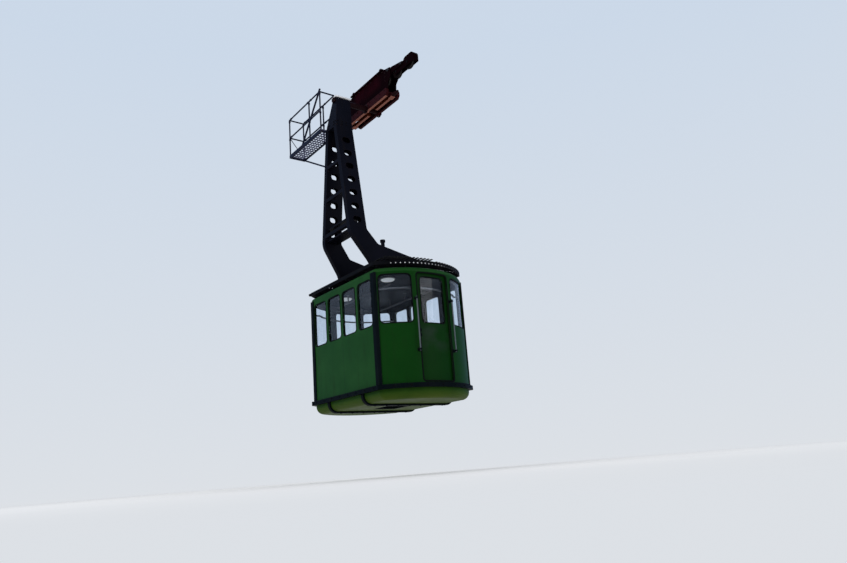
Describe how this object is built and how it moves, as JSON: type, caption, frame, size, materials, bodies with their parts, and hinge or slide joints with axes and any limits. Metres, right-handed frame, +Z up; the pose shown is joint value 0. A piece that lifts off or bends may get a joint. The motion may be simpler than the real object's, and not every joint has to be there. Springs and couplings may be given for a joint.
{
  "type": "aerial tramway cabin with hanger and carriage",
  "caption": "Cable car cabin with bowed ends and curved sliding doors, hung from a wheeled rope carriage by a perforated box hanger with a working platform.",
  "frame": {"origin": "centre of the track rope under the middle of the carriage, where the whole part hangs", "axes": "+X along the rope towards the uphill end, +Y level, away from the hanger's upright, +Z up"},
  "size_m": [3.3878, 2.285, 7.216],
  "materials": {
    "carriage_red": "matt dark red paint, weathered",
    "beam_red": "matt orange-red primer, weathered",
    "hanger_black": "matt near-black paint",
    "wheel_steel": "greased cast wheel",
    "pin_steel": "bare machined steel",
    "shaft_maroon": "matt dark maroon paint",
    "cabin_green": "semi-gloss dark green paint",
    "door_green": "semi-gloss dark green paint",
    "black_trim": "satin black paint",
    "deck_black": "matt black",
    "grating_grey": "galvanised grey-blue",
    "rail_grey": "dull blue-grey",
    "floor_grey": "dull grey floor",
    "handrail_silver": "satin",
    "lamp_white": "opal",
    "window_glass": "slightly tinted clear"
  },
  "bodies": {
    "carriage": {"carriage_frame": "carriage_red", "frame_cover": "carriage_red", "lower_beams": "beam_red", "rockers": "carriage_red", "equalizers": "carriage_red", "axles_and_pins": "pin_steel", "haul_sockets": "shaft_maroon", "pivot_shaft": "shaft_maroon", "end_hoods": "carriage_red"},
    "track_wheel_1": {"track_wheel_1": "wheel_steel"},
    "track_wheel_2": {"track_wheel_2": "wheel_steel"},
    "track_wheel_3": {"track_wheel_3": "wheel_steel"},
    "track_wheel_4": {"track_wheel_4": "wheel_steel"},
    "track_wheel_5": {"track_wheel_5": "wheel_steel"},
    "track_wheel_6": {"track_wheel_6": "wheel_steel"},
    "track_wheel_7": {"track_wheel_7": "wheel_steel"},
    "track_wheel_8": {"track_wheel_8": "wheel_steel"},
    "hanger_and_cabin": {"hanger_head": "hanger_black", "hanger_legs": "hanger_black", "hanger_ties": "hanger_black", "hanger_feet": "hanger_black", "foot_vent": "hanger_black", "platform_frame": "rail_grey", "platform_grating": "grating_grey", "platform_railing": "rail_grey", "side_walls": "cabin_green", "end_panels": "door_green", "corner_posts": "black_trim", "door_guides": "handrail_silver", "window_panes": "window_glass", "roof_pan": "cabin_green", "deck_frame": "deck_black", "deck_slats": "deck_black", "ceiling_lamps": "lamp_white", "floor_plate": "floor_grey", "bumper_rail": "black_trim", "belly_tub": "cabin_green", "hatch_trunk": "black_trim", "belly_skids": "black_trim", "door_handrails": "handrail_silver", "handrail_brackets": "black_trim", "inner_rails": "handrail_silver"},
    "uphill_door": {"uphill_door": "door_green", "uphill_door_pane": "window_glass"},
    "downhill_door": {"downhill_door": "door_green", "downhill_door_pane": "window_glass"},
    "floor_hatch": {"hatch_lid": "floor_grey"}
  },
  "joints": [
    {"name": "hanger_swing", "type": "hinge", "parent": "carriage", "child": "hanger_and_cabin", "pos_m": [0, -0.8, -0.265], "axis": [0, 1, 0], "range_deg": [-35, 35]},
    {"name": "track_wheel_1_spin", "type": "hinge", "parent": "carriage", "child": "track_wheel_1", "pos_m": [-1.47, 0, 0.134], "axis": [0, 1, 0], "continuous": true},
    {"name": "track_wheel_2_spin", "type": "hinge", "parent": "carriage", "child": "track_wheel_2", "pos_m": [-1.05, 0, 0.134], "axis": [0, 1, 0], "continuous": true},
    {"name": "track_wheel_3_spin", "type": "hinge", "parent": "carriage", "child": "track_wheel_3", "pos_m": [-0.63, 0, 0.134], "axis": [0, 1, 0], "continuous": true},
    {"name": "track_wheel_4_spin", "type": "hinge", "parent": "carriage", "child": "track_wheel_4", "pos_m": [-0.21, 0, 0.134], "axis": [0, 1, 0], "continuous": true},
    {"name": "track_wheel_5_spin", "type": "hinge", "parent": "carriage", "child": "track_wheel_5", "pos_m": [0.21, 0, 0.134], "axis": [0, 1, 0], "continuous": true},
    {"name": "track_wheel_6_spin", "type": "hinge", "parent": "carriage", "child": "track_wheel_6", "pos_m": [0.63, 0, 0.134], "axis": [0, 1, 0], "continuous": true},
    {"name": "track_wheel_7_spin", "type": "hinge", "parent": "carriage", "child": "track_wheel_7", "pos_m": [1.05, 0, 0.134], "axis": [0, 1, 0], "continuous": true},
    {"name": "track_wheel_8_spin", "type": "hinge", "parent": "carriage", "child": "track_wheel_8", "pos_m": [1.47, 0, 0.134], "axis": [0, 1, 0], "continuous": true},
    {"name": "uphill_door_slide", "type": "hinge", "parent": "hanger_and_cabin", "child": "uphill_door", "pos_m": [0.20781, 0, -5.5], "axis": [0, 0, 1], "range_deg": [0, 26.5]},
    {"name": "downhill_door_slide", "type": "hinge", "parent": "hanger_and_cabin", "child": "downhill_door", "pos_m": [-0.20781, 0, -5.5], "axis": [0, 0, 1], "range_deg": [0, 26.5]},
    {"name": "floor_hatch_lift", "type": "hinge", "parent": "hanger_and_cabin", "child": "floor_hatch", "pos_m": [-0.282, 0, -6.507], "axis": [0, -1, 0], "range_deg": [0, 95]}
  ]
}
